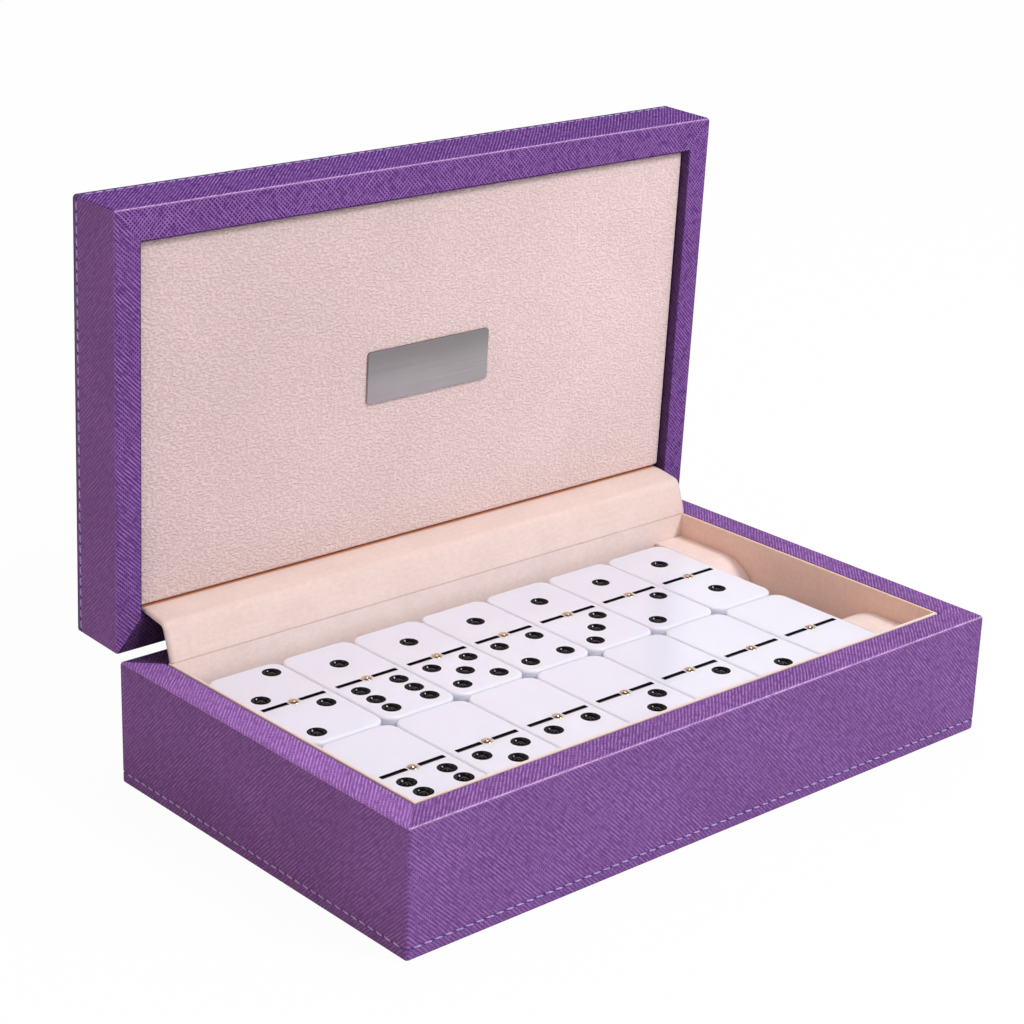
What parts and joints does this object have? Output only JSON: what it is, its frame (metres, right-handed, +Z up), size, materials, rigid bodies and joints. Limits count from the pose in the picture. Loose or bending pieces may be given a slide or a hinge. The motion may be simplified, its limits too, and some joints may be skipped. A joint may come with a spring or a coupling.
{
  "type": "domino storage box",
  "caption": "Leather-covered hinged box with a suede-lined well for a set of dominoes in two layers, a padded lid panel with a bare metal plate, and lift-out dominoes.",
  "frame": {"origin": "middle of the underside, on the surface that the box stands on", "axes": "+X to the right along the front, +Y back to the hinge, +Z up"},
  "size_m": [0.221, 0.1482, 0.1659],
  "materials": {
    "purple_leather": "satin",
    "cream_suede": "matte",
    "case_board": "matte",
    "underside_cloth": "matte",
    "hinge_steel": "satin",
    "plate_steel": "satin",
    "panel_skin": "matte",
    "panel_card": "matte",
    "lid_foam": "matte",
    "tile_acrylic": "gloss"
  },
  "bodies": {
    "base": {"base_front_board": "case_board", "base_rear_board": "case_board", "base_left_board": "case_board", "base_right_board": "case_board", "base_floor_board": "case_board", "base_leather_cover": "purple_leather", "base_underside_sheet": "underside_cloth", "lining_front": "cream_suede", "lining_rear": "cream_suede", "lining_left": "cream_suede", "lining_right": "cream_suede", "lining_floor": "cream_suede", "left_pads": "cream_suede", "right_pads": "cream_suede", "hinge_flap": "cream_suede", "hinge_base_leaves": "hinge_steel", "hinge_base_screws": "hinge_steel", "hinge_pins": "hinge_steel"},
    "lid": {"hinge_lid_leaves": "hinge_steel", "hinge_lid_screws": "hinge_steel", "lid_front_board": "case_board", "lid_rear_board": "case_board", "lid_left_board": "case_board", "lid_right_board": "case_board", "lid_top_board": "case_board", "lid_foam_core": "lid_foam", "lid_leather_cover": "purple_leather", "lid_top_cover": "purple_leather", "lid_panel_card": "panel_card", "lid_panel_pad": "panel_skin", "nameplate": "plate_steel"},
    "domino_6_6": {"domino_6_6": "tile_acrylic"},
    "domino_0_6": {"domino_0_6": "tile_acrylic"},
    "domino_5_6": {"domino_5_6": "tile_acrylic"},
    "domino_0_5": {"domino_0_5": "tile_acrylic"},
    "domino_5_5": {"domino_5_5": "tile_acrylic"},
    "domino_0_4": {"domino_0_4": "tile_acrylic"},
    "domino_4_6": {"domino_4_6": "tile_acrylic"},
    "domino_0_3": {"domino_0_3": "tile_acrylic"},
    "domino_4_5": {"domino_4_5": "tile_acrylic"},
    "domino_0_2": {"domino_0_2": "tile_acrylic"},
    "domino_4_4": {"domino_4_4": "tile_acrylic"},
    "domino_0_1": {"domino_0_1": "tile_acrylic"},
    "domino_3_6": {"domino_3_6": "tile_acrylic"},
    "domino_0_0": {"domino_0_0": "tile_acrylic"},
    "domino_3_5": {"domino_3_5": "tile_acrylic"},
    "domino_2_2": {"domino_2_2": "tile_acrylic"},
    "domino_3_4": {"domino_3_4": "tile_acrylic"},
    "domino_1_6": {"domino_1_6": "tile_acrylic"},
    "domino_3_3": {"domino_3_3": "tile_acrylic"},
    "domino_1_5": {"domino_1_5": "tile_acrylic"},
    "domino_2_6": {"domino_2_6": "tile_acrylic"},
    "domino_1_4": {"domino_1_4": "tile_acrylic"},
    "domino_2_5": {"domino_2_5": "tile_acrylic"},
    "domino_1_3": {"domino_1_3": "tile_acrylic"},
    "domino_2_4": {"domino_2_4": "tile_acrylic"},
    "domino_1_2": {"domino_1_2": "tile_acrylic"},
    "domino_2_3": {"domino_2_3": "tile_acrylic"},
    "domino_1_1": {"domino_1_1": "tile_acrylic"}
  },
  "joints": [
    {"name": "box_hinge", "type": "hinge", "parent": "base", "child": "lid", "pos_m": [0, 0.0646, 0.0372], "axis": [-1, 0, 0], "range_deg": [-88, 0], "deforming": ["hinge_flap"]},
    {"name": "lift_6_6", "type": "slide", "parent": "base", "child": "domino_6_6", "axis": [0, 0, 1], "range_m": [0, 0.04]},
    {"name": "lift_0_6", "type": "slide", "parent": "domino_6_6", "child": "domino_0_6", "axis": [0, 0, 1], "range_m": [0, 0.04]},
    {"name": "lift_5_6", "type": "slide", "parent": "base", "child": "domino_5_6", "axis": [0, 0, 1], "range_m": [0, 0.04]},
    {"name": "lift_0_5", "type": "slide", "parent": "domino_5_6", "child": "domino_0_5", "axis": [0, 0, 1], "range_m": [0, 0.04]},
    {"name": "lift_5_5", "type": "slide", "parent": "base", "child": "domino_5_5", "axis": [0, 0, 1], "range_m": [0, 0.04]},
    {"name": "lift_0_4", "type": "slide", "parent": "domino_5_5", "child": "domino_0_4", "axis": [0, 0, 1], "range_m": [0, 0.04]},
    {"name": "lift_4_6", "type": "slide", "parent": "base", "child": "domino_4_6", "axis": [0, 0, 1], "range_m": [0, 0.04]},
    {"name": "lift_0_3", "type": "slide", "parent": "domino_4_6", "child": "domino_0_3", "axis": [0, 0, 1], "range_m": [0, 0.04]},
    {"name": "lift_4_5", "type": "slide", "parent": "base", "child": "domino_4_5", "axis": [0, 0, 1], "range_m": [0, 0.04]},
    {"name": "lift_0_2", "type": "slide", "parent": "domino_4_5", "child": "domino_0_2", "axis": [0, 0, 1], "range_m": [0, 0.04]},
    {"name": "lift_4_4", "type": "slide", "parent": "base", "child": "domino_4_4", "axis": [0, 0, 1], "range_m": [0, 0.04]},
    {"name": "lift_0_1", "type": "slide", "parent": "domino_4_4", "child": "domino_0_1", "axis": [0, 0, 1], "range_m": [0, 0.04]},
    {"name": "lift_3_6", "type": "slide", "parent": "base", "child": "domino_3_6", "axis": [0, 0, 1], "range_m": [0, 0.04]},
    {"name": "lift_0_0", "type": "slide", "parent": "domino_3_6", "child": "domino_0_0", "axis": [0, 0, 1], "range_m": [0, 0.04]},
    {"name": "lift_3_5", "type": "slide", "parent": "base", "child": "domino_3_5", "axis": [0, 0, 1], "range_m": [0, 0.04]},
    {"name": "lift_2_2", "type": "slide", "parent": "domino_3_5", "child": "domino_2_2", "axis": [0, 0, 1], "range_m": [0, 0.04]},
    {"name": "lift_3_4", "type": "slide", "parent": "base", "child": "domino_3_4", "axis": [0, 0, 1], "range_m": [0, 0.04]},
    {"name": "lift_1_6", "type": "slide", "parent": "domino_3_4", "child": "domino_1_6", "axis": [0, 0, 1], "range_m": [0, 0.04]},
    {"name": "lift_3_3", "type": "slide", "parent": "base", "child": "domino_3_3", "axis": [0, 0, 1], "range_m": [0, 0.04]},
    {"name": "lift_1_5", "type": "slide", "parent": "domino_3_3", "child": "domino_1_5", "axis": [0, 0, 1], "range_m": [0, 0.04]},
    {"name": "lift_2_6", "type": "slide", "parent": "base", "child": "domino_2_6", "axis": [0, 0, 1], "range_m": [0, 0.04]},
    {"name": "lift_1_4", "type": "slide", "parent": "domino_2_6", "child": "domino_1_4", "axis": [0, 0, 1], "range_m": [0, 0.04]},
    {"name": "lift_2_5", "type": "slide", "parent": "base", "child": "domino_2_5", "axis": [0, 0, 1], "range_m": [0, 0.04]},
    {"name": "lift_1_3", "type": "slide", "parent": "domino_2_5", "child": "domino_1_3", "axis": [0, 0, 1], "range_m": [0, 0.04]},
    {"name": "lift_2_4", "type": "slide", "parent": "base", "child": "domino_2_4", "axis": [0, 0, 1], "range_m": [0, 0.04]},
    {"name": "lift_1_2", "type": "slide", "parent": "domino_2_4", "child": "domino_1_2", "axis": [0, 0, 1], "range_m": [0, 0.04]},
    {"name": "lift_2_3", "type": "slide", "parent": "base", "child": "domino_2_3", "axis": [0, 0, 1], "range_m": [0, 0.04]},
    {"name": "lift_1_1", "type": "slide", "parent": "domino_2_3", "child": "domino_1_1", "axis": [0, 0, 1], "range_m": [0, 0.04]}
  ]
}
